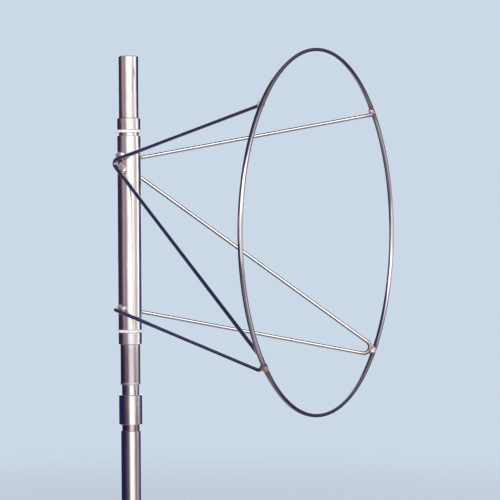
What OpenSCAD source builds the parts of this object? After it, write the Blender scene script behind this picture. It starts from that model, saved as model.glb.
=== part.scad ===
// Loop antenna on a swivelling sleeve.
// A round hoop of bar stands upright in front of a mast. Two bent rods hold it on a sleeve,
// which turns freely on the mast's spindle tube between two stop collars.
// Z runs up the mast's axis from its lower end, and X runs from the mast to the hoop.

/* [Mast tube] */
// Outside diameter of the tube that the spindle and the lower mast are cut from
tube_od = 25.4; // [22:0.1:27]
// Wall of that tube
tube_wall = 2; // [1.6:0.1:3]
// Chamfer on the cut ends of the tubes, collars and spigot
edge = 0.6; // [0.3:0.1:0.7]
// Length of the lower mast tube
lower_tube_l = 200; // [100:5:400]
// Length of the spindle tube
spindle_l = 409; // [400:1:500]

/* [Mast joint] */
// Length of spigot that shows between the lower tube and the joint collar
lower_neck_l = 7.5; // [3:0.5:20]
// Length of the joint collar
joint_collar_l = 37; // [20:1:60]
// Length of spigot that shows between the joint collar and the spindle
upper_neck_l = 12.5; // [3:0.5:25]
// Length of spigot inside each tube
spigot_in = 40; // [25:1:48]
// Depth reamed out of each tube's bore to seat the spigot, on the radius
seat_ream = 0.5; // [0.4:0.05:0.7]

/* [Stop collars] */
// Outside diameter of the stop collars and the joint collar
collar_od = 30; // [29:0.5:34]
// Length of each stop collar
collar_l = 15; // [10:0.5:20]
// Height of the lower stop collar above the spindle's lower end
collar_lift = 50.5; // [45:0.5:80]

/* [Thrust washers] */
// Outside diameter of the thrust washers
washer_od = 32; // [30:0.5:38]
// Thickness of each thrust washer
washer_t = 3; // [1.5:0.5:5]

/* [Swivel sleeve] */
// Outside diameter of the sleeve
sleeve_od = 30; // [29.6:0.1:32]
// Wall of the sleeve
sleeve_wall = 1.2; // [0.8:0.1:1.5]
// Length of the sleeve
sleeve_l = 241.5; // [230:0.5:243]
// Chamfer on the sleeve's ends
sleeve_edge = 0.4; // [0.2:0.05:0.4]
// Room that the sleeve has to lift before it meets the upper washer
end_play = 4; // [1:0.5:6]
// Length of the bush inside each end of the sleeve
bush_l = 30; // [15:1:60]

/* [Hoop] */
// Diameter of the hoop at the middle of its bar
hoop_d = 435; // [400:5:460]
// Diameter of the hoop's bar
bar_d = 6; // [5:0.5:8]
// Distance from the mast's axis to the hoop's plane
reach = 262.5; // [240:2.5:290]
// Angle of the four joints above and below the hoop's level centre line
joint_angle = 44; // [40:1:50]

/* [Struts] */
// Diameter of the strut rod
rod_d = 5; // [4:0.5:6]
// Height of the upper bend's centre above the sleeve's lower end
upper_bend_h = 207; // [190:1:212]
// Distance of the upper bend's centre behind the rod's touching point on the sleeve
upper_bend_back = 1; // [0:0.5:4]
// Radius of the upper bend, at the rod's middle
upper_bend_r = 5; // [4:0.5:7]
// Radius of the bend at the hoop, at the rod's middle
hoop_bend_r = 8; // [6:0.5:12]
// Height of the rod's lower end above the sleeve's lower end, where it passes the sleeve
rod_end_h = 24; // [15:1:50]
// Length of the rod's lower end past its touching point on the sleeve
rod_end_past = 7; // [4:0.5:12]
// Drop of the rod's upper end below the middle of the hoop's bar
upper_lap = 4.5; // [3:0.5:6]
// Chamfer on the rod's lower end
rod_edge = 0.8; // [0.4:0.1:1.5]
// Swell of the rod where it is bent, on the radius
bend_swell = 0.02; // [0.01:0.01:0.05]

/* [Welds] */
// Radius of the weld beads on the sleeve
sleeve_bead_r = 2.8; // [2.2:0.1:3.2]
// Step between the ripples of a bead on the sleeve
bead_step = 2.5; // [1.5:0.5:3]
// Ripples in the beads along the upper and lower legs
leg_ripples = 3; // [1:1:4]
// Ripples in the beads along the diagonals
diagonal_ripples = 2; // [1:1:3]
// Height of those beads' middle above the rod's axis
bead_rise = 4; // [3.5:0.1:4.5]
// Radius of the weld beads at the hoop's upper joints
top_bead_r = 3; // [2.5:0.1:3.5]
// Radius of the weld beads at the hoop's lower joints
bend_bead_r = 3.8; // [3.4:0.1:4.4]

/* [Screws] */
// Thread diameter of the set screws
screw_d = 4; // [3:0.5:5]
// Length of the collars' set screws
collar_screw_l = 4; // [3:0.5:6]
// Length of the set screws that hold the tubes on the spigot
tube_screw_l = 8; // [6:0.5:10]
// Hexagon socket of the set screws, across its corners
socket_d = 2.3; // [1.5:0.1:2.5]
// Depth of that socket
socket_deep = 2; // [1:0.5:2.5]
// Direction of the screws round the mast, from +X toward +Y
screw_turn = 180; // [90:5:270]
// Distance from each tube's end to its set screw
tube_screw_in = 15; // [8:1:20]

/* [Clearances] */
// Running clearance of the spindle in the bushes, on the radius
run_gap = 0.05; // [0.02:0.01:0.1]
// Clearance of the spigot in its seats and of the collars on the mast, on the radius
slip_gap = 0.05; // [0.02:0.01:0.1]
// Clearance past the spigot's ends in its seats
spigot_end_gap = 1; // [0.5:0.5:3]
// Clearance of the washers on the spindle, on the radius
washer_gap = 0.1; // [0.05:0.05:0.3]
// Clearance under the sleeve, above the lower washer
seat_gap = 0.1; // [0.05:0.05:0.3]
// Gap that the weld beads bridge between the rods, the sleeve and the hoop
weld_gap = 0.2; // [0.1:0.05:0.4]
// Clearance of the set screws in their holes, on the radius
screw_gap = 0.05; // [0.02:0.01:0.1]
// Clearance of the set screws' inner ends in their holes
screw_end_gap = 0.2; // [0.1:0.1:0.6]
// Depth of the set screws' outer ends below the surface
screw_sink = 0.3; // [0.2:0.1:0.6]

/* [Hidden] */
$fn = 64;

// Radii of the stock
tube_r = tube_od / 2;
tube_bore_r = tube_r - tube_wall;
seat_r = tube_bore_r + seat_ream;
spigot_r = seat_r - slip_gap;
collar_r = collar_od / 2;
sleeve_r = sleeve_od / 2;
bush_r = sleeve_r - sleeve_wall;
rod_r = rod_d / 2;
bar_r = bar_d / 2;
hoop_r = hoop_d / 2;
screw_r = screw_d / 2;

// Heights up the mast
joint_collar_z = lower_tube_l + lower_neck_l;
spindle_z = joint_collar_z + joint_collar_l + upper_neck_l;
lower_collar_z = spindle_z + collar_lift;
lower_washer_z = lower_collar_z + collar_l;
sleeve_z = lower_washer_z + washer_t + seat_gap;
upper_washer_z = sleeve_z + sleeve_l + end_play;
upper_collar_z = upper_washer_z + washer_t;
hoop_z = sleeve_z + sleeve_l / 2;

// Each strut is bent in one upright plane that passes the sleeve's side and cuts the hoop at its
// upper and lower joint. Points in that plane are [distance from the touching point, height].
strut_off = sleeve_r + weld_gap + rod_r;
joint_y = hoop_r * cos(joint_angle);
joint_rise = hoop_r * sin(joint_angle);
strut_turn = atan2(joint_y, reach) - asin(strut_off / norm([reach, joint_y]));
joint_s = (reach + strut_off * sin(strut_turn)) / cos(strut_turn);
upper_joint = [joint_s, hoop_z + joint_rise];
lower_joint = [joint_s, hoop_z - joint_rise];

// Directions in the plane that are square to the hoop's bar and point back to the mast
function unit(v) = v / norm(v);
back_up = unit([-cos(joint_angle), sin(joint_angle) * sin(strut_turn)]);
back_down = [back_up[0], -back_up[1]];

// Headings and side vectors in the plane, with angles from the outward direction up
function heading(v) = atan2(v[1], v[0]);
function along(a) = [cos(a), sin(a)];
function left_of(a) = [-sin(a), cos(a)];

// Bend centres, the upper leg's end and the lower leg's end
upper_bend = [-upper_bend_back, sleeve_z + upper_bend_h];
bend_touch = lower_joint + back_up * (bar_r + weld_gap + rod_r);
hoop_bend = bend_touch + back_up * hoop_bend_r;
top_end = upper_joint - [0, upper_lap];
rod_end = [0, sleeve_z + rod_end_h];

// Headings of the three straight legs, each a tangent to its bends
top_turn = heading(upper_bend - top_end) - asin(upper_bend_r / norm(upper_bend - top_end));
mid_turn = heading(hoop_bend - upper_bend)
    + asin((upper_bend_r + hoop_bend_r) / norm(hoop_bend - upper_bend));
low_turn = heading(rod_end - hoop_bend) - asin(hoop_bend_r / norm(rod_end - hoop_bend));

// Ends of the straight legs, on the bends
top_leg_end = upper_bend - left_of(top_turn) * upper_bend_r;
mid_leg_start = upper_bend - left_of(mid_turn) * upper_bend_r;
mid_leg_end = hoop_bend + left_of(mid_turn) * hoop_bend_r;
low_leg_start = hoop_bend + left_of(low_turn) * hoop_bend_r;
low_leg_end = rod_end + along(low_turn) * rod_end_past;

// Length of each straight leg inside its bends, so short that the bends' swell covers it
leg_in = 0.2;

// Where each leg passes the sleeve's side
function at_sleeve(p, a) = p - along(a) * (p[0] / cos(a));
top_pass = at_sleeve(top_leg_end, top_turn);
mid_pass = at_sleeve(mid_leg_start, mid_turn);

// How far a cut runs past the surface that it opens
over = 1;

steel = "silver";
dull_steel = "darkgray";
nylon = "white";

// A ring or tube with chamfered ends, standing on z = 0
module ring(outer, inner, l, e = edge) {
    rotate_extrude()
        polygon([
            [inner, e], [inner + e, 0], [outer - e, 0], [outer, e],
            [outer, l - e], [outer - e, l], [inner + e, l], [inner, l - e]
        ]);
}

// Places a radial screw or hole whose outer end is r from the mast's axis, at height z
module at_screw(z, r) {
    rotate([0, 0, screw_turn])
        translate([r, 0, z])
            rotate([0, -90, 0])
                children();
}

// Round hole for a set screw, open to the outside
module screw_hole(z, r, l) {
    at_screw(z, r + over) cylinder(h = l + over, r = screw_r + screw_gap);
}

// Set screw with a hexagon socket in its outer end
module set_screw(z, r, l) {
    at_screw(z, r - screw_sink)
        difference() {
            cylinder(h = l, r = screw_r);
            translate([0, 0, -over]) cylinder(h = socket_deep + over, d = socket_d, $fn = 6);
        }
}

lower_collar_mid = lower_collar_z + collar_l / 2;
upper_collar_mid = upper_collar_z + collar_l / 2;
joint_collar_mid = joint_collar_z + joint_collar_l / 2;
lower_tube_screw_z = lower_tube_l - tube_screw_in;
spindle_screw_z = spindle_z + tube_screw_in;

// Depths of the screw holes, which reach just past the screws' inner ends
collar_hole_l = screw_sink + collar_screw_l + screw_end_gap;
tube_hole_l = screw_sink + tube_screw_l + screw_end_gap;

// Mast tube of length l standing on its spigot's end, with the seat reamed into it
module seated_tube(l) {
    difference() {
        ring(tube_r, tube_bore_r, l);
        translate([0, 0, -over]) cylinder(h = over + spigot_in + spigot_end_gap, r = seat_r);
    }
}

module lower_mast_tube() {
    color(steel) difference() {
        translate([0, 0, lower_tube_l]) rotate([180, 0, 0]) seated_tube(lower_tube_l);
        screw_hole(lower_tube_screw_z, tube_r, tube_hole_l);
    }
}

module joint_spigot() {
    spigot_l = lower_neck_l + joint_collar_l + upper_neck_l + 2 * spigot_in;
    color(dull_steel) difference() {
        translate([0, 0, lower_tube_l - spigot_in])
            rotate_extrude()
                polygon([
                    [0, 0], [spigot_r - edge, 0], [spigot_r, edge],
                    [spigot_r, spigot_l - edge], [spigot_r - edge, spigot_l], [0, spigot_l]
                ]);
        screw_hole(lower_tube_screw_z, tube_r, tube_hole_l);
        screw_hole(joint_collar_mid, collar_r, collar_hole_l);
        screw_hole(spindle_screw_z, tube_r, tube_hole_l);
    }
}

module joint_collar() {
    color(steel) difference() {
        translate([0, 0, joint_collar_z]) ring(collar_r, spigot_r + slip_gap, joint_collar_l);
        screw_hole(joint_collar_mid, collar_r, collar_hole_l);
    }
}

module spindle_tube() {
    color(steel) difference() {
        translate([0, 0, spindle_z]) seated_tube(spindle_l);
        screw_hole(spindle_screw_z, tube_r, tube_hole_l);
        screw_hole(lower_collar_mid, collar_r, collar_hole_l);
        screw_hole(upper_collar_mid, collar_r, collar_hole_l);
    }
}

// Stop collar at height z, with the hole for its set screw
module stop_collar(z) {
    color(steel) difference() {
        translate([0, 0, z]) ring(collar_r, tube_r + slip_gap, collar_l);
        screw_hole(z + collar_l / 2, collar_r, collar_hole_l);
    }
}

module lower_stop_collar() {
    stop_collar(lower_collar_z);
}

module upper_stop_collar() {
    stop_collar(upper_collar_z);
}

// Nylon washer at height z
module thrust_washer(z) {
    color(nylon) translate([0, 0, z]) ring(washer_od / 2, tube_r + washer_gap, washer_t);
}

module lower_thrust_washer() {
    thrust_washer(lower_washer_z);
}

module upper_thrust_washer() {
    thrust_washer(upper_washer_z);
}

module collar_set_screws() {
    color(dull_steel)
        for (z = [joint_collar_mid, lower_collar_mid, upper_collar_mid])
            set_screw(z, collar_r, collar_screw_l);
}

module tube_set_screws() {
    color(dull_steel)
        for (z = [lower_tube_screw_z, spindle_screw_z])
            set_screw(z, tube_r, tube_screw_l);
}

module swivel_sleeve() {
    color(steel) translate([0, 0, sleeve_z]) ring(sleeve_r, bush_r, sleeve_l, sleeve_edge);
}

// Plain nylon bush at height z, pressed into the sleeve and turning on the spindle
module bush(z) {
    color(nylon) translate([0, 0, z])
        difference() {
            cylinder(h = bush_l, r = bush_r);
            translate([0, 0, -over]) cylinder(h = bush_l + 2 * over, r = tube_r + run_gap);
        }
}

module lower_bush() {
    bush(sleeve_z + sleeve_edge);
}

module upper_bush() {
    bush(sleeve_z + sleeve_l - sleeve_edge - bush_l);
}

// The hoop's bar, thicker by grow on the radius
module hoop_bar(grow = 0) {
    translate([reach, 0, hoop_z])
        rotate([0, 90, 0])
            rotate_extrude($fn = 180)
                translate([hoop_r, 0]) circle(r = bar_r + grow);
}

module hoop_ring() {
    color(steel) hoop_bar();
}

// Places what is drawn in a strut's plane, with x along it and z up: side is 1 for the right
// strut and -1 for the left one
module in_strut_plane(side) {
    rotate([0, 0, -side * strut_turn]) translate([0, -side * strut_off, 0]) children();
}

// Moves a child to a point of the plane
module at(p) {
    translate([p[0], 0, p[1]]) children();
}

// Straight rod from point p to point q of the plane, with a chamfer e on its end at q
module leg(p, q, e = 0) {
    l = norm(q - p);
    at(p) rotate([0, 90 - heading(q - p), 0])
        rotate_extrude()
            polygon([[0, 0], [rod_r, 0], [rod_r, l - e], if (e > 0) [rod_r - e, l], [0, l]]);
}

// Bent rod round centre c with radius r, from angle a to angle b
module bend(c, r, a, b) {
    at(c) rotate([90, 0, 0]) rotate([0, 0, a])
        rotate_extrude(angle = b - a) translate([r, 0]) circle(r = rod_r + bend_swell);
}

// The three straight legs, each run a little way into its bends
module top_leg() {
    leg(top_end, top_leg_end + along(top_turn) * leg_in);
}

module mid_leg() {
    leg(mid_leg_start - along(mid_turn) * leg_in, mid_leg_end + along(mid_turn) * leg_in);
}

module low_leg() {
    leg(low_leg_start - along(low_turn) * leg_in, low_leg_end, rod_edge);
}

// One rod: top leg, upper bend, long diagonal, bend at the hoop, and low leg
module strut_rod() {
    top_leg();
    bend(upper_bend, upper_bend_r, top_turn - 90, mid_turn - 90);
    mid_leg();
    bend(hoop_bend, hoop_bend_r, low_turn - 270, mid_turn + 90);
    low_leg();
}

// The rod in place, with its upper end cut to clear the hoop's bar
module strut(side) {
    difference() {
        in_strut_plane(side) strut_rod();
        hoop_bar(weld_gap);
    }
}

module right_strut() {
    color(steel) strut(1);
}

module left_strut() {
    color(steel) strut(-1);
}

// Bead in the corner between the sleeve and a leg, its child: ripples from point p of the
// strut's plane along angle a
module sleeve_bead(side, p, a, ripples) {
    difference() {
        in_strut_plane(side)
            for (i = [0 : ripples - 1])
                at(p + along(a) * i * bead_step)
                    translate([0, side * rod_r, 0]) sphere(r = sleeve_bead_r);
        in_strut_plane(side) children();
        cylinder(h = sleeve_z + sleeve_l, r = sleeve_r);
    }
}

module sleeve_bend_welds() {
    color(dull_steel) for (side = [1, -1]) {
        sleeve_bead(side, top_pass - left_of(top_turn) * bead_rise, top_turn + 180, leg_ripples)
            top_leg();
        sleeve_bead(side, mid_pass + left_of(mid_turn) * bead_rise, mid_turn, diagonal_ripples)
            mid_leg();
    }
}

module sleeve_end_welds() {
    color(dull_steel) for (side = [1, -1])
        sleeve_bead(side, rod_end - left_of(low_turn) * bead_rise, low_turn + 180, leg_ripples)
            low_leg();
}

module hoop_top_welds() {
    color(dull_steel) for (side = [1, -1]) difference() {
        in_strut_plane(side) at(upper_joint + back_down * bar_r) sphere(r = top_bead_r);
        in_strut_plane(side) top_leg();
        hoop_bar();
    }
}

module hoop_bend_welds() {
    color(dull_steel) for (side = [1, -1]) difference() {
        in_strut_plane(side) at(lower_joint + back_up * bar_r) sphere(r = bend_bead_r);
        in_strut_plane(side) bend(hoop_bend, hoop_bend_r, low_turn - 270, mid_turn + 90);
        hoop_bar();
    }
}

lower_mast_tube();
joint_spigot();
joint_collar();
spindle_tube();
lower_stop_collar();
upper_stop_collar();
lower_thrust_washer();
upper_thrust_washer();
collar_set_screws();
tube_set_screws();
swivel_sleeve();
lower_bush();
upper_bush();
hoop_ring();
right_strut();
left_strut();
sleeve_bend_welds();
sleeve_end_welds();
hoop_top_welds();
hoop_bend_welds();
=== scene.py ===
"""Looks of the loop antenna: a bright steel hoop on two bent rods, turning on a polished mast."""

from math import cos, pi, radians, sin

import bpy
import numpy as np
from mathutils import Matrix


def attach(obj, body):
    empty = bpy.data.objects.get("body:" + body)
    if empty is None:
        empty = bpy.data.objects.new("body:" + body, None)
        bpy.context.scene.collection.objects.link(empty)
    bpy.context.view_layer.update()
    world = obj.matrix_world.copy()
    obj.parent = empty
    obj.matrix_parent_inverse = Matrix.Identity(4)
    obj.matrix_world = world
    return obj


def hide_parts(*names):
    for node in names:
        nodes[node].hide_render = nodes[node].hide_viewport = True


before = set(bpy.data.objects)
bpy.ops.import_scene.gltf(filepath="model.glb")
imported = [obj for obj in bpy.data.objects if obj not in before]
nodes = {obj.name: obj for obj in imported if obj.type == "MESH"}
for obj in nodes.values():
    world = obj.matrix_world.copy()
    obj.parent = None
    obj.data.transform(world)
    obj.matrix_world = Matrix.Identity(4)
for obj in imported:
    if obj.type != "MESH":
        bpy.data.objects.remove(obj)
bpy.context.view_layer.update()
scene = bpy.context.scene

# Camera
# A long lens at the photograph's height and angle: on the mast's right, turned toward the hoop.
# It stands just above the height of the hoop's centre, and its small roll is the photograph's.
CAMERA_TURN, CAMERA_RISE, CAMERA_ROLL = radians(26.28), radians(1.06), radians(-0.34)
CAMERA_DISTANCE, CAMERA_SIDE, CAMERA_UP, AIM_HEIGHT = 2.644, 0.1499, 0.00015, 0.4248
FOCAL_PIXELS, PICTURE_PIXELS, SENSOR = 2120.66, 500, 36

camera_back = np.array([sin(CAMERA_TURN) * cos(CAMERA_RISE), -cos(CAMERA_TURN) * cos(CAMERA_RISE),
                        sin(CAMERA_RISE)])
level_right = np.array([cos(CAMERA_TURN), sin(CAMERA_TURN), 0])
level_up = np.cross(camera_back, level_right)
camera_right = cos(CAMERA_ROLL) * level_right + sin(CAMERA_ROLL) * level_up
camera_up = cos(CAMERA_ROLL) * level_up - sin(CAMERA_ROLL) * level_right
camera_place = (np.array([0, 0, AIM_HEIGHT]) + camera_back * CAMERA_DISTANCE
                + camera_right * CAMERA_SIDE + camera_up * CAMERA_UP)
camera_data = bpy.data.cameras.new("camera")
camera_data.sensor_width = SENSOR
camera_data.lens = FOCAL_PIXELS / PICTURE_PIXELS * SENSOR
camera = bpy.data.objects.new("camera", camera_data)
scene.collection.objects.link(camera)
facing = Matrix((camera_right, camera_up, camera_back)).transposed().to_4x4()
camera.matrix_world = Matrix.Translation(camera_place) @ facing
scene.camera = camera
scene.view_settings.view_transform = "Standard"

# Surround
# A plain pale floor that runs out to a plain pale surround of the same colour, so that no
# horizon shows. Near the mast the floor is matt and keeps the shadow.
SURROUND_COLOUR, FLOOR_COLOUR = (0.60, 0.69, 0.80, 1), (0.62, 0.70, 0.80, 1)
FLOOR_REACH, SHADOW_REACH, FADE_REACH = 12.0, 0.7, 1.6
EVEN_COLOUR, EVEN_LIGHT = (0.95, 0.97, 1, 1), 0.30


def new_material(name):
    """An empty node material: the material, its node tree and the tree's output node."""
    material = bpy.data.materials.new(name)
    material.use_nodes = True
    tree = material.node_tree
    tree.nodes.clear()
    return material, tree, tree.nodes.new("ShaderNodeOutputMaterial")


def add(tree, kind, inputs=None, **settings):
    """Adds a node: inputs names each socket's value or the output linked to it, settings its fields."""
    node = tree.nodes.new("ShaderNode" + kind)
    for field, value in settings.items():
        setattr(node, field, value)
    for socket, value in (inputs or {}).items():
        if isinstance(value, bpy.types.NodeSocket):
            tree.links.new(value, node.inputs[socket])
        else:
            node.inputs[socket].default_value = value
    return node


def maths(tree, operation, *values):
    """Result of an operation on one or two values."""
    return add(tree, "Math", dict(enumerate(values)), operation=operation).outputs[0]


def seen_as_background(tree):
    """1 for rays from the camera and for mirror and glass rays, 0 for rays that only carry light."""
    path = add(tree, "LightPath")
    either = maths(tree, "MAXIMUM", path.outputs["Is Camera Ray"], path.outputs["Is Glossy Ray"])
    return maths(tree, "MAXIMUM", either, path.outputs["Is Transmission Ray"])


world = bpy.data.worlds.new("surround")
world.use_nodes = True
sky = world.node_tree
sky.nodes.clear()
even = add(sky, "Background", {"Color": EVEN_COLOUR, "Strength": EVEN_LIGHT})
seen = add(sky, "Background", {"Color": SURROUND_COLOUR, "Strength": 1.0})
either = add(sky, "MixShader", {0: seen_as_background(sky), 1: even.outputs[0], 2: seen.outputs[0]})
add(sky, "OutputWorld", {"Surface": either.outputs[0]})
scene.world = world


def mesh_object(name, points, faces, smooth=True):
    """Object at the origin from an array of points and a list of faces."""
    mesh = bpy.data.meshes.new(name)
    mesh.from_pydata(points.tolist(), [], faces)
    mesh.polygons.foreach_set("use_smooth", np.full(len(mesh.polygons), smooth))
    mesh.update()
    piece = bpy.data.objects.new(name, mesh)
    scene.collection.objects.link(piece)
    return piece


corners = np.array([[-1, -1, 0], [1, -1, 0], [1, 1, 0], [-1, 1, 0]]) * FLOOR_REACH
floor = mesh_object("floor", corners, [(0, 1, 2, 3)], smooth=False)
floor_look, tree, out = new_material("pale floor")
place = add(tree, "TexCoord").outputs["Object"]
from_mast = add(tree, "VectorMath", {0: place}, operation="LENGTH").outputs["Value"]
fade = add(tree, "MapRange", {"Value": from_mast, "From Min": SHADOW_REACH, "From Max": FADE_REACH},
           interpolation_type="SMOOTHSTEP").outputs["Result"]
background = maths(tree, "MULTIPLY", fade, seen_as_background(tree))
matt = add(tree, "BsdfDiffuse", {"Color": FLOOR_COLOUR})
plain = add(tree, "Emission", {"Color": SURROUND_COLOUR, "Strength": 1.0})
either = add(tree, "MixShader", {0: background, 1: matt.outputs[0], 2: plain.outputs[0]})
tree.links.new(either.outputs[0], out.inputs[0])
floor.data.materials.append(floor_look)
floor.visible_glossy = False

# Lamps
# A large soft lamp on the camera's side and a wider one overhead light the nylon, the screws and
# the floor at a plain level. The bright metal takes its light from the dome below instead.
LAMP_AIM = np.array([0.1, 0, 0.45])
LAMPS = [
    # name, angle from the camera toward its right, rise, distance, width, height, watts
    ("front lamp", 12, 16, 4.0, 3.4, 2.8, 120),
    ("overhead lamp", -40, 76, 4.2, 4.4, 4.4, 140),
]


def beside_camera(angle, rise=0.0):
    """Direction from the mast at an angle from the camera toward its right, raised by rise."""
    ahead = np.array([sin(CAMERA_TURN), -cos(CAMERA_TURN), 0])
    angle = np.radians(angle)
    level = np.multiply.outer(np.cos(angle), ahead) + np.multiply.outer(np.sin(angle), level_right)
    return cos(radians(rise)) * level + sin(radians(rise)) * np.array([0, 0, 1])


for name, angle, rise, distance, width, height, watts in LAMPS:
    light = bpy.data.lights.new(name, "AREA")
    light.shape, light.size, light.size_y, light.energy = "RECTANGLE", width, height, watts
    lamp = bpy.data.objects.new(name, light)
    scene.collection.objects.link(lamp)
    toward = beside_camera(angle, rise)
    across = np.cross([0, 0, 1], toward)
    across /= np.linalg.norm(across)
    facing = Matrix((across, np.cross(toward, across), toward)).transposed().to_4x4()
    lamp.matrix_world = Matrix.Translation(LAMP_AIM + toward * distance) @ facing
    lamp.visible_camera = lamp.visible_glossy = False

# Dome
# Bright metal shows what stands round it, so a wide dome that only mirror rays see holds soft tones:
# white in front, a pale strip at the right, dark at the left, dim above and below, and a pale card
# straight behind. Each row runs round the mast by angle from the camera toward its right.
DOME_R, DOME_Z, DOME_STEPS = 6.0, 0.44, 360
NIGHT, DUSK, FLOOR_DUSK, REAR = (.02, .028, .12), (.05, .045, .08), (.10, .09, .13), (1.1, 1.12, 1.18)
BEHIND = [(-180, REAR), (-158, REAR), (-148, (.06, .06, .12))]
BEHIND_RIGHT = [(144, (.06, .07, .15)), (154, REAR), (180, REAR)]
HIGH = BEHIND + [
    (-100, (.045, .025, .07)), (-82, (.08, .05, .09)), (-68, (.29, .19, .235)), (-58, (.58, .43, .50)),
    (-46, (.54, .42, .47)), (-33, (.36, .29, .33)), (-24, (.66, .58, .63)), (-15, (1.35, 1.32, 1.33)),
    (-9, (1.6, 1.6, 1.6)), (39, (1.6, 1.58, 1.56)), (46, (1.35, 1.27, 1.25)), (55, (.95, .83, .83)),
    (66, (.80, .67, .69)), (76, (.85, .75, .77)), (84, (1.7, 1.65, 1.7)), (96, (1.8, 1.75, 1.8)),
    (103, (.55, .55, .70)), (109, (.06, .09, .22))] + BEHIND_RIGHT
TOP = BEHIND + [
    (-108, (.045, .03, .08)), (-92, (.13, .075, .13)), (-84, (.26, .17, .23)), (-74, (.64, .48, .56)),
    (-62, (.62, .47, .55)), (-53, (.46, .37, .43)), (-44, (.40, .33, .37)), (-36, (.60, .53, .58)),
    (-29, (1.2, 1.15, 1.2)), (-20, (1.6, 1.6, 1.6)), (34, (1.6, 1.58, 1.57)), (44, (1.2, 1.1, 1.12)),
    (50, (.93, .80, .84)), (57, (.98, .86, .92)), (66, (1.7, 1.65, 1.7)), (88, (1.8, 1.75, 1.8)),
    (97, (.55, .55, .70)), (104, (.06, .09, .22))] + BEHIND_RIGHT
MID = BEHIND + [
    (-122, NIGHT), (-85, (.04, .03, .08)), (-70, (.07, .045, .09)), (-57, (.12, .085, .125)),
    (-45, (.25, .19, .24)), (-33, (.40, .34, .38)), (-21, (.56, .51, .55)), (-10, (.84, .80, .83)),
    (1, (1.22, 1.19, 1.22)), (12, (1.32, 1.28, 1.29)), (24, (1.22, 1.17, 1.18)), (35, (.98, .91, .93)),
    (47, (.72, .64, .67)), (58, (.76, .66, .72)), (70, (1.6, 1.46, 1.56)), (93, (1.7, 1.55, 1.65)),
    (101, (.55, .5, .6)), (106, (.18, .19, .3)), (130, (.10, .12, .24))] + BEHIND_RIGHT
LOW = BEHIND + [
    (-122, NIGHT), (-96, NIGHT), (-78, (.02, .012, .06)), (-52, (.08, .04, .09)), (-28, (.21, .12, .19)),
    (-17, (.30, .26, .30)), (-8, (1, 1, 1)), (-2, (1.7, 1.7, 1.7)), (33, (1.7, 1.68, 1.65)),
    (45, (.92, .78, .76)), (56, (.38, .30, .30)), (67, (.30, .22, .25)), (78, (.60, .50, .62)),
    (92, (.55, .5, .68)), (104, (.12, .14, .26)), (134, (.03, .05, .17))] + BEHIND_RIGHT
LIT = BEHIND + [
    (-125, (.05, .06, .15)), (-116, (.09, .11, .28)), (-97, (.09, .11, .28)), (-84, DUSK),
    (-50, (.16, .13, .16)), (-25, (.55, .50, .52)), (-10, (3.2, 3.2, 3.2)), (45, (3.2, 3.1, 3.0)),
    (56, (1.4, 1.3, 1.3)), (80, (.85, .80, .82)), (98, (.5, .47, .5)), (112, (.14, .15, .22))] + BEHIND_RIGHT
DIM_UP = BEHIND + [
    (-120, NIGHT), (-52, NIGHT), (-20, (.12, .10, .14)), (10, (.24, .22, .25)), (45, (.36, .33, .35)),
    (80, (.30, .28, .31)), (110, (.12, .13, .19))] + BEHIND_RIGHT
DIM_DOWN = BEHIND + [
    (-128, NIGHT), (-92, NIGHT), (-60, (.08, .07, .12)), (-20, (.15, .12, .15)), (28, (.30, .27, .30)),
    (46, (.80, .74, .78)), (66, (.95, .88, .93)), (95, (.50, .46, .52)), (104, (.20, .19, .25)),
    (112, (.06, .06, .13))] + BEHIND_RIGHT
LOW_DIM = BEHIND + [
    (-100, (.07, .06, .10)), (-76, FLOOR_DUSK), (-54, (.36, .33, .37)), (-32, (.22, .20, .23)),
    (-10, (.26, .24, .26)), (26, (.28, .26, .28)), (45, (.90, .84, .88)), (66, (.95, .88, .93)),
    (86, (.44, .40, .46)), (98, (.18, .17, .22)), (108, DUSK)] + BEHIND_RIGHT
FAINT_DOWN = [
    (-180, (.34, .34, .38)), (-145, (.26, .26, .30)), (-110, FLOOR_DUSK), (-60, (.14, .12, .16)),
    (-20, (.24, .22, .25)), (26, (.28, .26, .29)), (46, (.62, .58, .61)), (70, (.55, .50, .54)),
    (95, (.10, .09, .13)), (130, DUSK), (155, (.30, .30, .34)), (180, (.34, .34, .38))]
FLOOR_NEAR = [
    (-180, (.42, .43, .48)), (-140, (.30, .30, .34)), (-110, (.15, .14, .18)), (-60, (.20, .19, .23)),
    (-25, (.48, .47, .50)), (35, (.52, .51, .54)), (62, (.32, .30, .33)), (85, (.16, .15, .19)),
    (120, (.13, .13, .17)), (150, (.40, .41, .46)), (180, (.42, .43, .48))]
FAINT = [
    (-180, DUSK), (-120, NIGHT), (-40, NIGHT), (0, DUSK), (40, (.13, .12, .15)), (70, (.16, .14, .17)),
    (100, DUSK), (180, DUSK)]
# Each row's elevation. From the camera the mast shows TOP above the sleeve, HIGH on the sleeve and
# its collars, MID on the dull spindle and LOW below it. The rods and the hoop reach the other rows.
DOME_ROWS = [
    (-89.5, FLOOR_NEAR), (-64, FLOOR_NEAR), (-50, FAINT_DOWN), (-32, LOW_DIM), (-18, DIM_DOWN),
    (-11, LOW), (-6.5, LOW), (-5.7, MID), (-4.9, MID), (-4.35, HIGH), (3.9, HIGH), (4.3, TOP), (8, TOP),
    (11, LIT), (31, LIT), (41, DIM_UP), (56, DIM_UP), (72, FAINT), (89.5, FAINT)]


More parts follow.
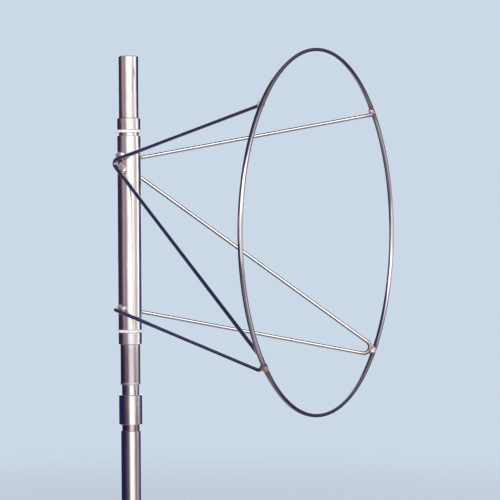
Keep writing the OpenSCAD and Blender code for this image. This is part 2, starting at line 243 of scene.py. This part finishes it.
def dome_mesh():
    """Rings of a ball: radius times (cos of elevation along each turn, sin of elevation), and each
    point's tone, straight between the turns listed for its row."""
    turns = np.linspace(-180, 180, DOME_STEPS, endpoint=False)
    rings, tones = [], []
    for rise, row in DOME_ROWS:
        rings.append(beside_camera(turns) * cos(radians(rise)) + [0, 0, sin(radians(rise))])
        stops, colours = [t for t, _ in row], np.array([c for _, c in row])
        channels = [np.interp(turns, stops, colours[:, k]) for k in range(3)]
        tones.append(np.stack(channels + [np.ones(DOME_STEPS)], 1))
    i = np.arange(len(DOME_ROWS) - 1)[:, None] * DOME_STEPS
    j = np.arange(DOME_STEPS)[None, :]
    beside = (j + 1) % DOME_STEPS
    faces = np.stack([i + j, i + DOME_STEPS + j, i + DOME_STEPS + beside, i + beside], 2)
    faces = faces.reshape(-1, 4).tolist()
    highest = len(DOME_ROWS) * DOME_STEPS - 1
    faces += [tuple(range(DOME_STEPS)), tuple(highest - k for k in range(DOME_STEPS))]
    return np.concatenate(rings) * DOME_R + [0, 0, DOME_Z], faces, np.concatenate(tones)


points, faces, tones = dome_mesh()
dome = mesh_object("dome", points, faces)
dome.data.attributes.new("tone", "FLOAT_COLOR", "POINT").data.foreach_set("color", tones.ravel())
dome_look, tree, out = new_material("dome tones")
tone = add(tree, "Attribute", attribute_name="tone").outputs["Color"]
tree.links.new(add(tree, "Emission", {"Color": tone, "Strength": 1.0}).outputs[0], out.inputs[0])
dome.data.materials.append(dome_look)
dome.visible_camera = dome.visible_diffuse = dome.visible_shadow = False
dome.visible_transmission = dome.visible_volume_scatter = False

# Mast tubes
# Two lengths of one 25.4 mm stainless tube, the lower mast and the spindle, drawn and then
# polished by hand along their length; the bore is as drawn. The spindle's lower part is duller.
TUBE_COLOUR, TUBE_ROUGH, TUBE_BORE = (0.64, 0.62, 0.61), 0.10, 0.0112
LINE_HEIGHT = 0.0004
WAVE_SCALE, WAVE_DEPTH, WAVE_HEIGHT = (90, 90, 26), 0.4, 0.0006
MILL_SCALE = [(0.3, (0.22, 0.20, 0.19)), (0.7, (0.36, 0.34, 0.32))]
BORE_ROUGH, BORE_METAL = 0.55, 0.5
# From the spindle's foot up: a turned ring that is rougher, then the duller part.
DULL = (0.78, 0.73, 0.77)
DULL_SPINDLE = (0.257, 0.317, [(0.045, 1.0), (0.06, DULL), (0.72, DULL), (0.92, 1.0)],
                [(0.045, 0.30), (0.06, 0.05), (0.72, 0.05), (0.92, 0.0)])


def ramp(tree, factor, stops):
    """Colour ramp over stops of (position, grey or colour)."""
    node = add(tree, "ValToRGB", {0: factor})
    marks = node.color_ramp.elements
    while len(marks) < len(stops):
        marks.new(0.5)
    for mark, (position, colour) in zip(marks, stops):
        mark.position = position
        mark.color = (colour, colour, colour, 1) if np.isscalar(colour) else (*colour, 1)
    return node.outputs["Color"]


def noise(tree, place, scale, detail, rough, stretch=None):
    """Noise of a scale at a place; stretch scales the place's three axes first."""
    if stretch:
        place = add(tree, "Mapping", {"Vector": place, "Scale": stretch}).outputs[0]
    return add(tree, "TexNoise", {"Vector": place, "Scale": scale, "Detail": detail,
                                  "Roughness": rough}).outputs[0]


def between(tree, first, second, share):
    """First value at a share of 0, second at 1."""
    return add(tree, "Mix", {0: share, 2: first, 3: second}, data_type="FLOAT").outputs[0]


def times(tree, base, shade):
    """Base colour multiplied by a shade."""
    return add(tree, "Mix", {0: 1.0, 6: base, 7: shade}, data_type="RGBA", blend_type="MULTIPLY").outputs[2]


def spread(tree, value, start, end, low, high):
    """The run of value from start to end, spread from low to high and held there beyond."""
    return add(tree, "MapRange", {"Value": value, "From Min": start, "From Max": end,
                                  "To Min": low, "To Max": high}).outputs["Result"]


def raised(tree, height, strength, distance, under=None):
    """Normal of a surface raised by a height, on top of the normal under it."""
    inputs = {"Height": height, "Strength": strength, "Distance": distance}
    if under is not None:
        inputs["Normal"] = under
    return add(tree, "Bump", inputs).outputs[0]


def from_axis(tree, place):
    """Distance of a place from the mast's axis."""
    flat = add(tree, "VectorMath", {0: place, 1: (1, 1, 0)}, operation="MULTIPLY").outputs[0]
    return add(tree, "VectorMath", {0: flat}, operation="LENGTH").outputs["Value"]


def shaded(colour, by):
    """Colour times a number, held at white."""
    return tuple(min(1.0, by * c) for c in colour)


def steel(name, colour, rough, grain=(900, 900, 9), grain_depth=0.05, smudge=0.05, tint=None, wear_and_painted_shade=None,
          bore=None):
    """Polished or turned steel: fine lines stretched along the axes that grain scales least, faint
    smudges in the shade and the roughness, and the shallow waves of hand polishing. The argument
    for wear and painted shade gives two heights and, between them, the stops of shade and of added
    roughness: a duller, worn finish on the spindle, painted shade on the spigot's lower neck. Inside
    the radius bore the wall is dull and scaled, as it left the mill. tint, a function of the tree,
    the place and the colour, gives the colour and the added roughness that heat left near welds."""
    material, tree, out = new_material(name)
    place = add(tree, "TexCoord").outputs["Object"]
    lines = noise(tree, place, scale=1.0, detail=3.0, rough=0.6, stretch=grain)
    cloud = noise(tree, place, scale=22.0, detail=4.0, rough=0.55)
    shade = between(tree, lines, cloud, share=0.35)
    base = ramp(tree, shade, [(0.3, shaded(colour, by=0.90)), (0.7, shaded(colour, by=1.06))])
    roughness = spread(tree, shade, start=0.32, end=0.68, low=rough - smudge / 2, high=rough + smudge)
    metal = 1.0
    if wear_and_painted_shade:
        start, end, shades, added = wear_and_painted_shade
        height = add(tree, "SeparateXYZ", {0: place}).outputs["Z"]
        along = spread(tree, height, start, end, low=0.0, high=1.0)
        # Between two heights the colour is multiplied down: a worn, duller finish on the spindle, painted
        # shade on the spigot's lower neck.
        base = times(tree, base, ramp(tree, along, shades))
        roughness = maths(tree, "ADD", roughness, ramp(tree, along, added))
    if bore:
        inside = maths(tree, "LESS_THAN", from_axis(tree, place), bore)
        scaled = ramp(tree, cloud, MILL_SCALE)
        base = add(tree, "Mix", {0: inside, 6: base, 7: scaled}, data_type="RGBA").outputs[2]
        roughness = between(tree, roughness, BORE_ROUGH, share=inside)
        metal = spread(tree, inside, start=0.0, end=1.0, low=1.0, high=BORE_METAL)
    if tint:
        base, more = tint(tree, place, base)
        roughness = maths(tree, "ADD", roughness, more)
    waves = noise(tree, place, scale=1.0, detail=2.0, rough=0.5, stretch=WAVE_SCALE)
    waved = raised(tree, waves, WAVE_DEPTH, WAVE_HEIGHT)
    normal = raised(tree, lines, grain_depth, LINE_HEIGHT, under=waved)
    shader = add(tree, "BsdfPrincipled", {"Base Color": base, "Roughness": roughness,
                                          "Metallic": metal, "Normal": normal})
    tree.links.new(shader.outputs[0], out.inputs[0])
    return material


def dress(material, *names):
    """Gives CAD nodes a material."""
    for name in names:
        for slot in nodes[name].material_slots:
            slot.material = material


dress(steel("polished tube", TUBE_COLOUR, TUBE_ROUGH, bore=TUBE_BORE), "lower_mast_tube")
dress(steel("polished spindle", TUBE_COLOUR, TUBE_ROUGH, wear_and_painted_shade=DULL_SPINDLE, bore=TUBE_BORE), "spindle_tube")

# Spigot
# A solid steel bar turned to fit both tubes, which shows as a bright neck above and below the
# joint collar. Its turning marks run round it, and the lower neck is darkened as painted shade.
# Below the joint collar the spigot's lower neck is darkened: painted shade.
PAINTED_SHADE_NECK = (0.200, 0.220, [(0.30, (0.66, 0.55, 0.60)), (0.45, 1.0)], [(0.30, 0.0), (0.45, 0.02)])
dress(steel("turned spigot", (0.68, 0.66, 0.66), 0.07, grain=(40, 40, 5000), grain_depth=0.02,
            wear_and_painted_shade=PAINTED_SHADE_NECK), "joint_spigot")

# Collars
# Three rings turned from 30 mm stainless bar: one over the joint and two that stop the sleeve.
# They slide on and are held by their set screws. The lathe's fine lines run round them.
dress(steel("turned collar", (0.66, 0.64, 0.63), 0.07, grain=(60, 60, 4200), grain_depth=0.03, smudge=0.03),
      "joint_collar", "lower_stop_collar", "upper_stop_collar")

# Set screws
# Socket grub screws of dark oiled steel at the back of the collars and tubes, just below flush.
# Each is turned in through its thread until its end bears on the tube or the spigot.
dress(steel("set screw steel", (0.20, 0.20, 0.21), 0.42, grain=(1500, 1500, 1500), grain_depth=0.3,
            smudge=0.12), "collar_set_screws", "tube_set_screws")

# Washers and bushes
# Plain white nylon, turned from bar: a washer under the sleeve, one under the upper collar, and
# a bush pressed into each end of the sleeve. The faces carry faint turning rings.
NYLON_SHADES = [(0.3, (0.83, 0.80, 0.805)), (0.62, (0.91, 0.88, 0.89))]
RING_PACE, RING_DEPTH, RING_HEIGHT = 14000.0, 0.12, 0.0003


def nylon():
    """White nylon with faint turning rings, a sine of the distance from the axis times RING_PACE, and
    slightly greyed patches."""
    material, tree, out = new_material("white nylon")
    place = add(tree, "TexCoord").outputs["Object"]
    cloud = noise(tree, place, scale=120.0, detail=4.0, rough=0.6)
    rings = maths(tree, "SINE", maths(tree, "MULTIPLY", from_axis(tree, place), RING_PACE))
    base = ramp(tree, cloud, NYLON_SHADES)
    roughness = spread(tree, cloud, start=0.3, end=0.7, low=0.38, high=0.5)
    normal = raised(tree, between(tree, rings, cloud, share=0.5), RING_DEPTH, RING_HEIGHT)
    shader = add(tree, "BsdfPrincipled", {"Base Color": base, "Roughness": roughness, "Normal": normal,
                                          "Subsurface Weight": 0.15, "Subsurface Scale": 0.002})
    tree.links.new(shader.outputs[0], out.inputs[0])
    return material


dress(nylon(), "lower_thrust_washer", "upper_thrust_washer", "lower_bush", "upper_bush")

# Sleeve
# A thin 30 mm stainless tube that turns on the spindle. Welding the rods to its sides left small
# straw and violet marks of heat beside the beads, so the rods' route is worked out here.
SLEEVE_Z, SLEEVE_R, WELD_GAP = 0.3256, 0.015, 0.0002
ROD_R, BAR_R, HOOP_R, REACH = 0.0025, 0.003, 0.2175, 0.2625
HOOP_Z, JOINT_ANGLE = 0.44635, radians(44)
UPPER_BEND_R, HOOP_BEND_R, ROD_END_PAST, UPPER_LAP = 0.005, 0.008, 0.007, 0.0045
UPPER_BEND_BACK, UPPER_BEND_UP, ROD_END_UP = 0.001, 0.207, 0.024

strut_off = SLEEVE_R + WELD_GAP + ROD_R
joint_y, joint_rise = HOOP_R * cos(JOINT_ANGLE), HOOP_R * sin(JOINT_ANGLE)
strut_turn = np.arctan2(joint_y, REACH) - np.arcsin(strut_off / np.hypot(REACH, joint_y))
joint_s = (REACH + strut_off * sin(strut_turn)) / cos(strut_turn)


def unit(v):
    """v at length 1."""
    return v / np.linalg.norm(v)


def left_of(v):
    """v turned a quarter to the left, in a strut's plane."""
    return np.array([-v[1], v[0]])


def leg_way(start, end, off):
    """Direction of a straight leg from one bend's centre, or a free end, to the next: the line from
    start to end, turned left by the arcsine of off over its length. off is the sum of the distances
    that the leg keeps from the two."""
    way = end - start
    angle = np.arctan2(way[1], way[0]) + np.arcsin(off / np.linalg.norm(way))
    return np.array([cos(angle), sin(angle)])


# The rod's route in its own upright plane, as distance out from the mast and height.
upper_joint = np.array([joint_s, HOOP_Z + joint_rise])
lower_joint = np.array([joint_s, HOOP_Z - joint_rise])
back_up = unit(np.array([-cos(JOINT_ANGLE), sin(JOINT_ANGLE) * sin(strut_turn)]))
back_down = back_up * [1, -1]
upper_bend = np.array([-UPPER_BEND_BACK, SLEEVE_Z + UPPER_BEND_UP])
hoop_bend = lower_joint + back_up * (BAR_R + WELD_GAP + ROD_R + HOOP_BEND_R)
top_end = upper_joint - [0, UPPER_LAP]
rod_end = np.array([0, SLEEVE_Z + ROD_END_UP])
top_way = leg_way(top_end, upper_bend, -UPPER_BEND_R)
mid_way = leg_way(upper_bend, hoop_bend, UPPER_BEND_R + HOOP_BEND_R)
low_way = leg_way(hoop_bend, rod_end, -HOOP_BEND_R)
top_leg_end = upper_bend - left_of(top_way) * UPPER_BEND_R
mid_leg_start = upper_bend - left_of(mid_way) * UPPER_BEND_R
mid_leg_end = hoop_bend + left_of(mid_way) * HOOP_BEND_R
low_leg_start = hoop_bend + left_of(low_way) * HOOP_BEND_R
low_leg_end = rod_end + low_way * ROD_END_PAST
top_pass = top_leg_end - top_way * (top_leg_end[0] / top_way[0])
mid_pass = mid_leg_start - mid_way * (mid_leg_start[0] / mid_way[0])


def in_plane(side, points, off=0.0):
    """Points of a strut's plane (distance, height) in space: the plane is turned by strut_turn from
    straight ahead and stands strut_off from the mast's axis, less off, a distance out of the plane
    toward the sleeve. Side 1 is the right strut, -1 the left."""
    points = np.atleast_2d(points)
    away = strut_off - np.broadcast_to(off, points[:, 0].shape)
    x = points[:, 0] * cos(strut_turn) - away * sin(strut_turn)
    y = -side * (points[:, 0] * sin(strut_turn) + away * cos(strut_turn))
    return np.stack([x, y, points[:, 1]], 1)


TEMPER = [(0.0, (1, 1, 1)), (0.25, (1.0, 0.94, 0.82)), (0.45, (0.90, 0.76, 0.68)),
          (0.62, (0.74, 0.62, 0.74)), (0.8, (0.66, 0.66, 0.78)), (1.0, (0.70, 0.68, 0.66))]
HEAT_NEAR, HEAT_FAR, HEAT_WOBBLE, HEAT_ROUGH = 0.003, 0.0085, 0.003, 0.15
# The middle of each weld's heat, a little out from where its leg passes the sleeve.
WELD_SPOTS = in_plane(-1, [top_pass + [0.004, 0.004], mid_pass + [0.004, -0.002], rod_end + [0.002, 0.003]])


def sleeve_heat(tree, place, base):
    """Temper colours and added roughness by the distance to the nearest weld. Both sides share the
    left side's spots, because y is taken without its sign."""
    split = add(tree, "SeparateXYZ", {0: place})
    folded = add(tree, "CombineXYZ", {0: split.outputs["X"], 2: split.outputs["Z"],
                                      1: maths(tree, "ABSOLUTE", split.outputs["Y"])}).outputs[0]
    nearest = None
    for spot in WELD_SPOTS:
        far = add(tree, "VectorMath", {0: folded, 1: tuple(spot)}, operation="DISTANCE").outputs["Value"]
        nearest = far if nearest is None else maths(tree, "MINIMUM", nearest, far)
    wander = noise(tree, place, scale=260.0, detail=3.0, rough=0.5)
    wobble = spread(tree, wander, start=0.0, end=1.0, low=-HEAT_WOBBLE, high=HEAT_WOBBLE)
    nearest = maths(tree, "ADD", nearest, wobble)
    heat = spread(tree, nearest, HEAT_NEAR, HEAT_FAR, low=1.0, high=0.0)
    return times(tree, base, ramp(tree, heat, TEMPER)), maths(tree, "MULTIPLY", heat, HEAT_ROUGH)


dress(steel("polished sleeve", (0.67, 0.65, 0.64), 0.10, tint=sleeve_heat), "swivel_sleeve")

# Hoop
# One length of 6 mm stainless bar rolled to a circle and joined end to end, standing upright in
# front of the mast. It is bright, with faint lines along the bar and heat marks at its four joints.
HOOP_STEPS, HEAT_REACH = 720, 0.012
BAR_TEMPER = [(0.0, (1, 1, 1)), (0.2, (1.0, 0.93, 0.78)), (0.4, (0.93, 0.76, 0.62)),
              (0.6, (0.74, 0.55, 0.62)), (0.8, (0.60, 0.58, 0.72)), (1.0, (0.66, 0.61, 0.60))]
BAR_GRAIN, BAR_LINE_DEPTH, BAR_LINE_HEIGHT = (14, 1500, 1500), 0.05, 0.0003
BAR_SMUDGE, BAR_HEAT_ROUGH = 0.06, 0.22


def tube(name, centres, sides, across, radii, closed, heat, rings=24):
    """Round bar along centres: point = centre + radius (cos t side + sin t across), a grid of path
    step and angle t. It keeps two attributes: the bar as if straightened (run along it, and its round
    section), for patterns that follow it, and the heat that welding left."""
    steps = len(centres)
    t = np.linspace(0, 2 * pi, rings, endpoint=False)
    ring = np.cos(t)[None, :, None] * sides[:, None, :] + np.sin(t)[None, :, None] * across[:, None, :]
    points = (centres[:, None, :] + radii[:, None, None] * ring).reshape(-1, 3)
    run = np.concatenate([[0], np.cumsum(np.linalg.norm(np.diff(centres, axis=0), axis=1))])
    straight = np.stack([np.repeat(run, rings), np.tile(np.cos(t), steps) * np.repeat(radii, rings),
                         np.tile(np.sin(t), steps) * np.repeat(radii, rings)], 1)
    i = np.arange(steps if closed else steps - 1)[:, None] * rings
    j = np.arange(rings)[None, :]
    after, beside = (i + rings) % (steps * rings), (j + 1) % rings
    faces = np.stack([i + j, i + beside, after + beside, after + j], 2).reshape(-1, 4).tolist()
    warm = np.repeat(heat, rings)
    if not closed:
        points = np.concatenate([points, centres[[0, -1]]])
        straight = np.concatenate([straight, [[run[0], 0, 0], [run[-1], 0, 0]]])
        warm = np.concatenate([warm, heat[[0, -1]]])
        first, last = len(points) - 2, len(points) - 1
        k, end_ring = np.arange(rings), (steps - 1) * rings
        beside = (k + 1) % rings
        faces += np.stack([np.full(rings, first), beside, k], 1).tolist()
        faces += np.stack([np.full(rings, last), end_ring + k, end_ring + beside], 1).tolist()
    piece = mesh_object(name, points, faces)
    attributes = piece.data.attributes
    attributes.new("straight", "FLOAT_VECTOR", "POINT").data.foreach_set("vector", straight.ravel())
    attributes.new("weld_heat", "FLOAT", "POINT").data.foreach_set("value", warm)
    return piece


def bar_steel(name, colour, rough):
    """Bright bar: lines along it and faint smudges, on its straightened coordinates, with the temper
    colours of its heat."""
    material, tree, out = new_material(name)
    straight = add(tree, "Attribute", attribute_name="straight").outputs["Vector"]
    heat = add(tree, "Attribute", attribute_name="weld_heat").outputs["Fac"]
    lines = noise(tree, straight, scale=1.0, detail=3.0, rough=0.6, stretch=BAR_GRAIN)
    cloud = noise(tree, straight, scale=60.0, detail=4.0, rough=0.6)
    shade = between(tree, lines, cloud, share=0.4)
    base = ramp(tree, shade, [(0.3, shaded(colour, by=0.88)), (0.7, shaded(colour, by=1.06))])
    base = times(tree, base, ramp(tree, heat, BAR_TEMPER))
    roughness = spread(tree, shade, start=0.32, end=0.68,
                       low=rough - BAR_SMUDGE / 2, high=rough + BAR_SMUDGE)
    roughness = maths(tree, "ADD", roughness, maths(tree, "MULTIPLY", heat, BAR_HEAT_ROUGH))
    normal = raised(tree, lines, BAR_LINE_DEPTH, BAR_LINE_HEIGHT)
    shader = add(tree, "BsdfPrincipled", {"Base Color": base, "Roughness": roughness, "Metallic": 1.0,
                                          "Normal": normal})
    tree.links.new(shader.outputs[0], out.inputs[0])
    return material


# The bar's middle runs on a circle: the hoop's centre + HOOP_R (cos a across, sin a up). Its heat is
# a bell curve of the distance along it to the nearest joint.
around = np.linspace(0, 2 * pi, HOOP_STEPS, endpoint=False)
outward = np.stack([np.zeros(HOOP_STEPS), np.cos(around), np.sin(around)], 1)
centres = np.array([REACH, 0, HOOP_Z]) + HOOP_R * outward
forward = np.tile([1.0, 0, 0], (HOOP_STEPS, 1))
joints_at = np.array([JOINT_ANGLE, pi - JOINT_ANGLE, pi + JOINT_ANGLE, 2 * pi - JOINT_ANGLE])
arc_off = np.abs((around[:, None] - joints_at + pi) % (2 * pi) - pi).min(1) * HOOP_R
heat = np.exp(-(arc_off / HEAT_REACH) ** 2)
hoop = tube("hoop_bar", centres, outward, forward, np.full(HOOP_STEPS, BAR_R), True, heat)
# The hoop's bar gets a darker colour than the same stainless of the rods and tubes: painted shade.
hoop.data.materials.append(bar_steel("hoop bar", (0.54, 0.52, 0.555), 0.13))
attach(hoop, "loop")
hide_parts("hoop_ring")

# Struts
# Two 5 mm stainless rods, each bent cold in one plane: from the hoop to a tight bend at the
# sleeve's side, down to a bend at the hoop, and back to the sleeve. Mirror images of each other.
LEG_STEP, ARC_STEP = 0.0015, 0.0006
END_EDGE, END_STEPS = 0.0009, 7


def leg(start, end):
    """Evenly spaced points from start to end, without the last."""
    count = max(2, int(np.ceil(np.linalg.norm(end - start) / LEG_STEP)))
    return start + (end - start) * np.linspace(0, 1, count, endpoint=False)[:, None]


def arc(centre, start, turn):
    """Points turned round centre from start through an angle, without the last."""
    count = max(6, int(np.ceil(abs(turn) * np.linalg.norm(start - centre) / ARC_STEP)))
    a = turn * np.linspace(0, 1, count, endpoint=False)[:, None]
    v = start - centre
    return centre + np.concatenate([np.cos(a) * v[0] - np.sin(a) * v[1],
                                    np.sin(a) * v[0] + np.cos(a) * v[1]], 1)


def angle_between(a, b):
    """Left turn from direction a to direction b, from 0 to a whole turn."""
    return (np.arctan2(b[1], b[0]) - np.arctan2(a[1], a[0])) % (2 * pi)


def out_of_plane(side):
    """Direction out of a strut's plane, away from the sleeve."""
    return in_plane(side, [[0, 0]])[0] - in_plane(side, [[0, 0]], 1.0)[0]


route = np.concatenate([
    leg(top_end, top_leg_end), arc(upper_bend, top_leg_end, angle_between(top_way, mid_way)),
    leg(mid_leg_start, mid_leg_end), arc(hoop_bend, mid_leg_end, -angle_between(low_way, mid_way)),
    leg(low_leg_start, low_leg_end), [low_leg_end]])
# Both ends of a rod are rounded over by END_EDGE.
rounding = np.linspace(0, pi / 2, END_STEPS)
keep = np.linalg.norm(route - route[-1], axis=1) > END_EDGE
keep &= np.linalg.norm(route - route[0], axis=1) > END_EDGE
caps = END_EDGE * (1 - np.sin(rounding))
route = np.concatenate([top_end + top_way * caps[::-1][:, None], route[keep],
                        low_leg_end - low_way * caps[:, None]])
cap_r = ROD_R - END_EDGE * (1 - np.cos(rounding))
radii = np.concatenate([cap_r[::-1], np.full(keep.sum(), ROD_R), cap_r])
hot_spots = np.array([upper_joint, hoop_bend - back_up * HOOP_BEND_R, top_pass, mid_pass, rod_end])
rod_look = bar_steel("bright rod", (0.63, 0.635, 0.665), 0.11)
for side, name, node in ((1, "right_strut_rod", "right_strut"), (-1, "left_strut_rod", "left_strut")):
    path = in_plane(side, route)
    forward = np.gradient(path, axis=0)
    forward /= np.linalg.norm(forward, axis=1)[:, None]
    flat = np.tile(out_of_plane(side), (len(path), 1))
    upright = np.cross(forward, flat)
    far = np.linalg.norm(path[:, None, :] - in_plane(side, hot_spots), axis=2).min(1)
    heat = np.exp(-(far / HEAT_REACH) ** 2)
    rod = tube(name, path, flat, upright, radii, False, heat, rings=20)
    rod.data.materials.append(rod_look)
    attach(rod, "loop")
    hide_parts(node)

# Welds
# Beads of the steel filler that joins each rod to the sleeve and to the hoop: rounded, with the
# fine ripples of the arc along them, darker between the ripples as painted shade, and tinted by the heat.
BEAD_STEPS, BEAD_RINGS, SLEEVE_BEAD_R, END_BEAD_R, BEAD_LOW = 96, 30, 0.0041, 0.0036, 0.8
RIPPLE, RIPPLE_DEPTH, RIPPLE_LAG, VALLEY_POWER = 0.0020, 0.08, 0.38, 1.5
DRIFT, DRIFT_WAVES = 0.35, 1.7
# The low waves of a bead's width: their share of the radius, turns round it, and radians a metre.
LUMPS = [(0.05, 2, 600), (0.035, 3, -1100), (0.03, 0, 380)]
TOP_LEG_OFF, MID_LEG_OFF, LOW_LEG_OFF = 0.0045, 0.0047, 0.0042
WELD_SHADES = [(0.30, (0.60, 0.50, 0.60)), (0.42, (0.88, 0.80, 0.74)), (0.54, (0.95, 0.94, 0.93)),
               (0.70, (0.86, 0.74, 0.68))]
# The valleys between ripples are darkened by their depth: painted shade.
PAINTED_VALLEY_SHADE = [(0.25, 1.0), (0.95, 0.42)]
BURNT = [(0.0, 1.0), (0.5, (0.95, 0.74, 0.68)), (1.0, (0.42, 0.24, 0.27))]


def bead(centres, radius, out_way, seed, low=1.0):
    """One bead along centres: a round section swept over a grid of run u and angle t. Its radius is
    a quarter circle at each end and full between, times a row of arches, one for each ripple, that
    lag round the bead's sides, and low sine waves for its uneven width; low flattens it toward what
    it sits on. Returns points, faces and the depth in the valleys, 0 on a ripple's crest."""
    run = np.concatenate([[0], np.cumsum(np.linalg.norm(np.diff(centres, axis=0), axis=1))])
    length = run[-1]
    forward = np.gradient(centres, axis=0)
    forward /= np.linalg.norm(forward, axis=1)[:, None]
    across = np.cross(forward, out_way)
    across /= np.linalg.norm(across, axis=1)[:, None]
    outside = np.cross(across, forward)
    t = np.linspace(0, 2 * pi, BEAD_RINGS, endpoint=False)
    end = np.clip((np.abs(run - length / 2) - (length / 2 - radius)) / radius, 0, 1)
    whole = np.sqrt(1 - end ** 2)[:, None]
    lag = RIPPLE_LAG * radius * (1 - np.cos(t))[None, :]
    ripples = max(3, round(length / RIPPLE))
    place = (run[:, None] - lag) / length
    phase = (ripples * place + DRIFT * np.sin(2 * pi * DRIFT_WAVES * place + seed)) % 1
    arch = np.sqrt(1 - (2 * phase - 1) ** 2)
    starts = np.random.default_rng(seed).uniform(0, 2 * pi, 4)
    width = 1
    for (share, turns, pace), start in zip(LUMPS, starts):
        width = width + share * np.sin(turns * t[None, :] + pace * run[:, None] + start)
    radii = radius * whole * (1 - RIPPLE_DEPTH * (1 - arch)) * width
    radii[[0, -1]] = 0
    ring = low * np.cos(t)[None, :, None] * outside[:, None, :] \
        + np.sin(t)[None, :, None] * across[:, None, :]
    points = centres[:, None, :] + radii[:, :, None] * ring
    body = points[1:-1].reshape(-1, 3)
    count = BEAD_STEPS - 2
    i, k = np.arange(count - 1)[:, None] * BEAD_RINGS, np.arange(BEAD_RINGS)
    j, beside = k[None, :], (k + 1) % BEAD_RINGS
    faces = np.stack([i + j, i + beside, i + BEAD_RINGS + beside, i + BEAD_RINGS + j], 2)
    faces = faces.reshape(-1, 4).tolist()
    end_ring, tips = (count - 1) * BEAD_RINGS, count * BEAD_RINGS
    faces += np.stack([np.full(BEAD_RINGS, tips), beside, k], 1).tolist()
    faces += np.stack([np.full(BEAD_RINGS, tips + 1), end_ring + k, end_ring + beside], 1).tolist()
    valley = ((1 - arch[1:-1]) ** VALLEY_POWER).reshape(-1)
    return np.concatenate([body, centres[[0, -1]]]), faces, np.concatenate([valley, [1, 1]])


def weld_steel():
    """Weld metal: valleys between ripples darkened as painted shade, straw and violet patches, fine scale.
    """
    material, tree, out = new_material("weld metal")
    place = add(tree, "TexCoord").outputs["Object"]
    valley = add(tree, "Attribute", attribute_name="valley").outputs["Fac"]
    warmth = add(tree, "Attribute", attribute_name="warmth").outputs["Fac"]
    patches = noise(tree, place, scale=200.0, detail=3.0, rough=0.5)
    scale = noise(tree, place, scale=1500.0, detail=3.0, rough=0.55)
    # Valley depth darkens the colour here: painted shade in the creases between ripples.
    base = times(tree, ramp(tree, patches, WELD_SHADES), ramp(tree, valley, PAINTED_VALLEY_SHADE))
    base = times(tree, base, ramp(tree, warmth, BURNT))
    roughness = spread(tree, scale, start=0.3, end=0.7, low=0.2, high=0.42)
    normal = raised(tree, scale, strength=0.25, distance=0.0002)
    shader = add(tree, "BsdfPrincipled", {"Base Color": base, "Roughness": roughness, "Metallic": 0.8,
                                          "Normal": normal})
    tree.links.new(shader.outputs[0], out.inputs[0])
    return material


def weld_piece(name, node, beads):
    """Joins the beads of one weld node into one mesh, each with its warmth from 0, bright, to 1,
    burnt, and puts it in the node's place."""
    points, faces, valleys, warmths, start = [], [], [], [], 0
    for warmth, (bead_points, bead_faces, bead_valley) in beads:
        points.append(bead_points)
        valleys.append(bead_valley)
        warmths.append(np.full(len(bead_points), warmth))
        faces += [[start + k for k in face] for face in bead_faces]
        start += len(bead_points)
    piece = mesh_object(name, np.concatenate(points), faces)
    for attribute, values in (("valley", valleys), ("warmth", warmths)):
        layer = piece.data.attributes.new(attribute, "FLOAT", "POINT")
        layer.data.foreach_set("value", np.concatenate(values))
    piece.data.materials.append(weld_look)
    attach(piece, "loop")
    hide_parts(node)


def sleeve_bead(side, start, rise, way, length, seed, radius=SLEEVE_BEAD_R):
    """Bead in the corner between the sleeve and a leg, beside the rod by rise, from start along way
    in the strut's plane."""
    u = np.linspace(-radius, length - radius, BEAD_STEPS)[:, None]
    centres = in_plane(side, start + rise + way * u, ROD_R)
    return bead(centres, radius, out_of_plane(side), seed, BEAD_LOW)


def hoop_bead(side, joint_angle, back, off, radius, half, slide, seed):
    """Bead along the hoop's bar, on the circle of the bar's middle, that reaches half each way. It is
    slid along the bar from a joint and moved by off toward the side that faces the rod."""
    a = joint_angle + (slide + np.linspace(-half, half, BEAD_STEPS)) / HOOP_R
    centres = np.stack([np.full(BEAD_STEPS, REACH), -side * HOOP_R * np.cos(a),
                        HOOP_Z + HOOP_R * np.sin(a)], 1)
    back_way = in_plane(side, [back])[0] - in_plane(side, [[0, 0]])[0]
    return bead(centres + back_way * off, radius, back_way, seed)


weld_look = weld_steel()
above_top = -left_of(top_way) * TOP_LEG_OFF
above_mid = left_of(mid_way) * MID_LEG_OFF
above_low = -left_of(low_way) * LOW_LEG_OFF
weld_piece("sleeve_bend_beads", "sleeve_bend_welds", [
    part for side in (1, -1) for part in (
        (0.0, sleeve_bead(side, top_pass, above_top, -top_way, length=0.0144, seed=11 + side)),
        (0.1, sleeve_bead(side, mid_pass, above_mid, mid_way, length=0.0175, seed=15 + side)))])
weld_piece("sleeve_end_beads", "sleeve_end_welds", [
    (0.1, sleeve_bead(side, rod_end, above_low, -low_way, length=0.0134, seed=21 + side, radius=END_BEAD_R))
    for side in (1, -1)])
weld_piece("hoop_top_beads", "hoop_top_welds", [
    (0.0, hoop_bead(1, JOINT_ANGLE, back_down,
                    off=0.0049, radius=0.0036, half=0.0042, slide=-0.0036, seed=32)),
    (0.5, hoop_bead(-1, JOINT_ANGLE, back_down,
                    off=0.0012, radius=0.0037, half=0.0050, slide=0.0004, seed=30))])
weld_piece("hoop_bend_beads", "hoop_bend_welds", [
    (0.85, hoop_bead(1, -JOINT_ANGLE, back_up,
                     off=0.0008, radius=0.0041, half=0.0062, slide=0.0006, seed=42)),
    (0.4, hoop_bead(-1, -JOINT_ANGLE, back_up,
                    off=0.0018, radius=0.0046, half=0.0058, slide=0.0, seed=40))])
